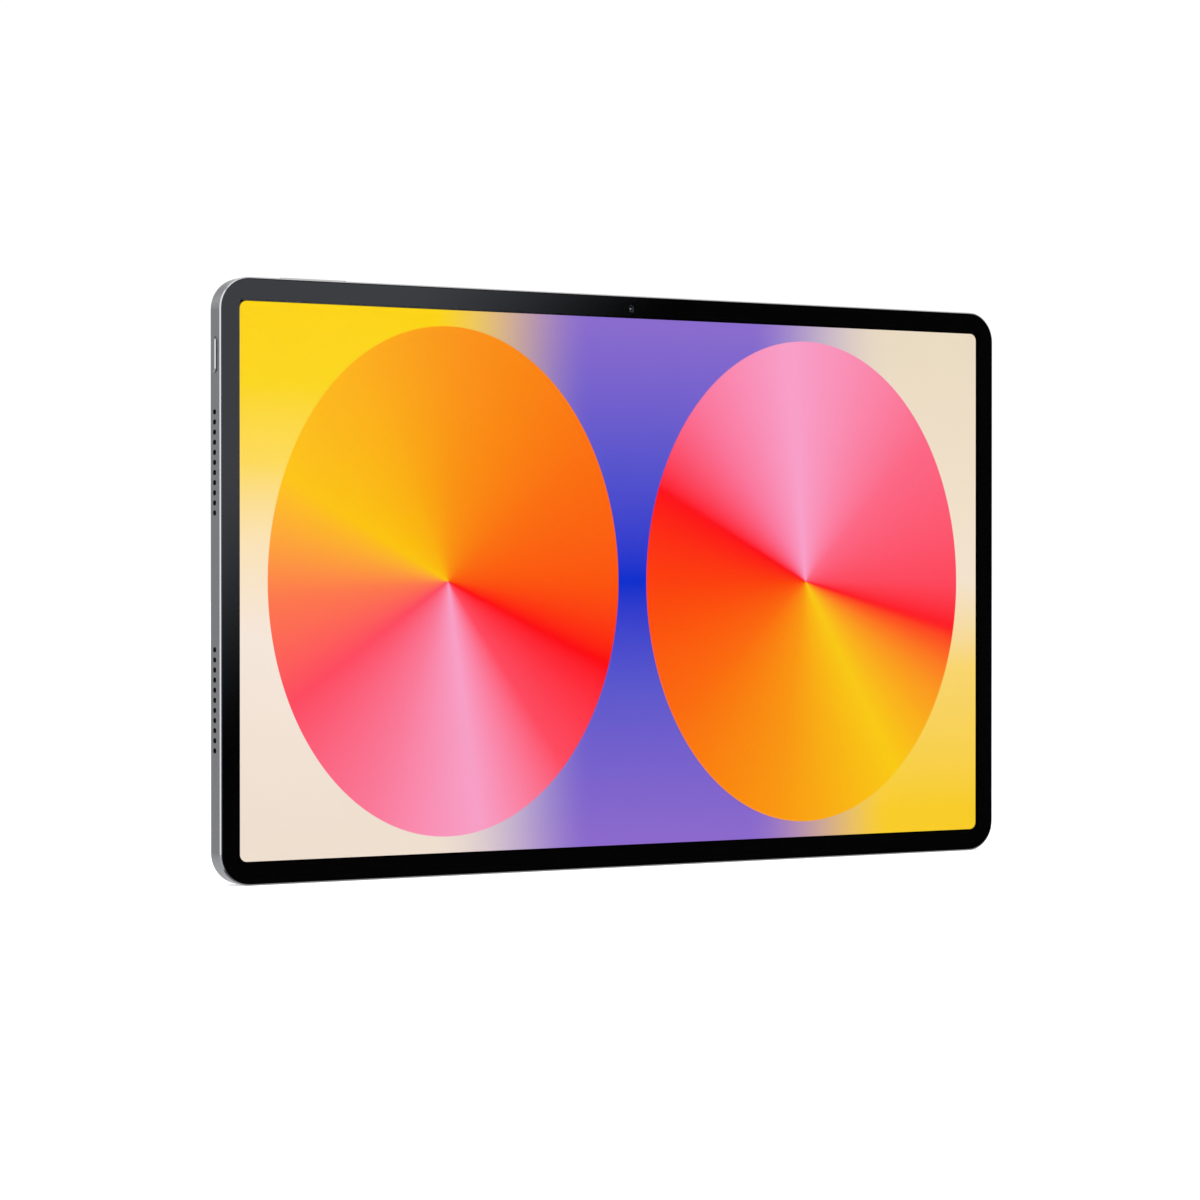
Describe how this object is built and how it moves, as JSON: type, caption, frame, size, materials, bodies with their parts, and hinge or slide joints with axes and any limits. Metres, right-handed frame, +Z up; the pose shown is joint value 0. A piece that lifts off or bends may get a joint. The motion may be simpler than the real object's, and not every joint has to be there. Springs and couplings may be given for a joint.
{
  "type": "tablet computer",
  "caption": "Flat metal-bodied tablet computer standing on its long edge, with an edge-to-edge glass front, lit screen, side keys, speaker grilles, charging socket and rear camera.",
  "frame": {"origin": "middle of the bottom long edge, at half the body's thickness", "axes": "+X along the long edges, towards the charging socket; +Z up; -Y is the way the screen faces"},
  "size_m": [0.248, 0.0081, 0.1604],
  "materials": {
    "body_metal": "bead-blasted, anodised space grey, with a polished chamfer",
    "strip_plastic": "satin, matched to the metal",
    "cover_glass": "polished",
    "black_print": "flat black print behind glass",
    "foam_tape": "matt black foam",
    "clear_bond": "clear",
    "display": "lit screen",
    "light_films": "translucent white film",
    "white_plastic": "white moulding",
    "lamp_strip": "white lamps on a thin strip",
    "steel": "bright stamped or turned steel",
    "carrier_plastic": "glass-filled black moulding",
    "flexible_circuit": "brown film",
    "antenna_copper": "bare copper foil",
    "circuit_board": "green solder resist",
    "chip_black": "moulded epoxy",
    "camera_black": "black barrel and case",
    "camera_glass": "tinted glass",
    "flash_resin": "clear resin over a yellow lamp",
    "switch_plastic": "moulded black",
    "battery_pouch": "laminated foil pouch",
    "speaker_plastic": "moulded black box",
    "grille_mesh": "fine black mesh"
  },
  "bodies": {
    "tablet": {"antenna_lower": "antenna_copper", "antenna_strip_lower": "strip_plastic", "antenna_strip_upper": "strip_plastic", "antenna_upper": "antenna_copper", "backlight_frame": "white_plastic", "backlight_tray": "steel", "battery_board": "circuit_board", "battery_cable": "flexible_circuit", "battery_cell_left": "battery_pouch", "battery_cell_right": "battery_pouch", "battery_tape": "foam_tape", "bezel_mask": "black_print", "board_screws": "steel", "camera_plate": "body_metal", "camera_window": "camera_glass", "card_socket": "steel", "cover_glass": "cover_glass", "diffuser_film": "light_films", "display_carrier": "carrier_plastic", "display_flex": "flexible_circuit", "flash_module": "flash_resin", "frame_adhesive": "foam_tape", "front_camera": "camera_black", "lcd_panel": "display", "led_strip": "lamp_strip", "light_guide": "light_films", "light_sensor": "chip_black", "main_board": "circuit_board", "main_flex": "flexible_circuit", "microphone": "chip_black", "optical_adhesive": "clear_bond", "power_bracket": "steel", "power_switch": "switch_plastic", "prism_film": "light_films", "processor_chip": "chip_black", "processor_shield": "steel", "rear_camera_body": "camera_black", "rear_housing": "body_metal", "reflector_sheet": "light_films", "speaker_left_lower": "speaker_plastic", "speaker_left_upper": "speaker_plastic", "speaker_mesh_left_lower": "grille_mesh", "speaker_mesh_left_upper": "grille_mesh", "speaker_mesh_right_lower": "grille_mesh", "speaker_mesh_right_upper": "grille_mesh", "speaker_right_lower": "speaker_plastic", "speaker_right_upper": "speaker_plastic", "speaker_screws": "steel", "storage_chip": "chip_black", "usb_board": "circuit_board", "usb_c_shell": "steel", "usb_c_tongue": "switch_plastic", "volume_bracket": "steel", "volume_switch": "switch_plastic", "wireless_chip": "chip_black", "wireless_shield": "steel"},
    "power_key": {"power_button": "body_metal"},
    "volume_key": {"volume_rocker": "body_metal"},
    "card_drawer": {"card_tray": "body_metal"},
    "focus_lens": {"rear_camera_lens": "camera_black"}
  },
  "joints": [
    {"name": "power_press", "type": "slide", "parent": "tablet", "child": "power_key", "axis": [1, 0, 0], "range_m": [0, 0.0003], "stiffness_N_per_m": 6000},
    {"name": "volume_rock", "type": "hinge", "parent": "tablet", "child": "volume_key", "pos_m": [-0.0957, 0, 0.1579], "axis": [0, 1, 0], "range_deg": [-1.2, 1.2], "stiffness_Nm_per_rad": 0.6},
    {"name": "card_slide", "type": "slide", "parent": "tablet", "child": "card_drawer", "axis": [1, 0, 0], "range_m": [0, 0.018]},
    {"name": "lens_focus", "type": "slide", "parent": "tablet", "child": "focus_lens", "axis": [0, 1, 0], "range_m": [0, 0.00025], "stiffness_N_per_m": 40}
  ]
}
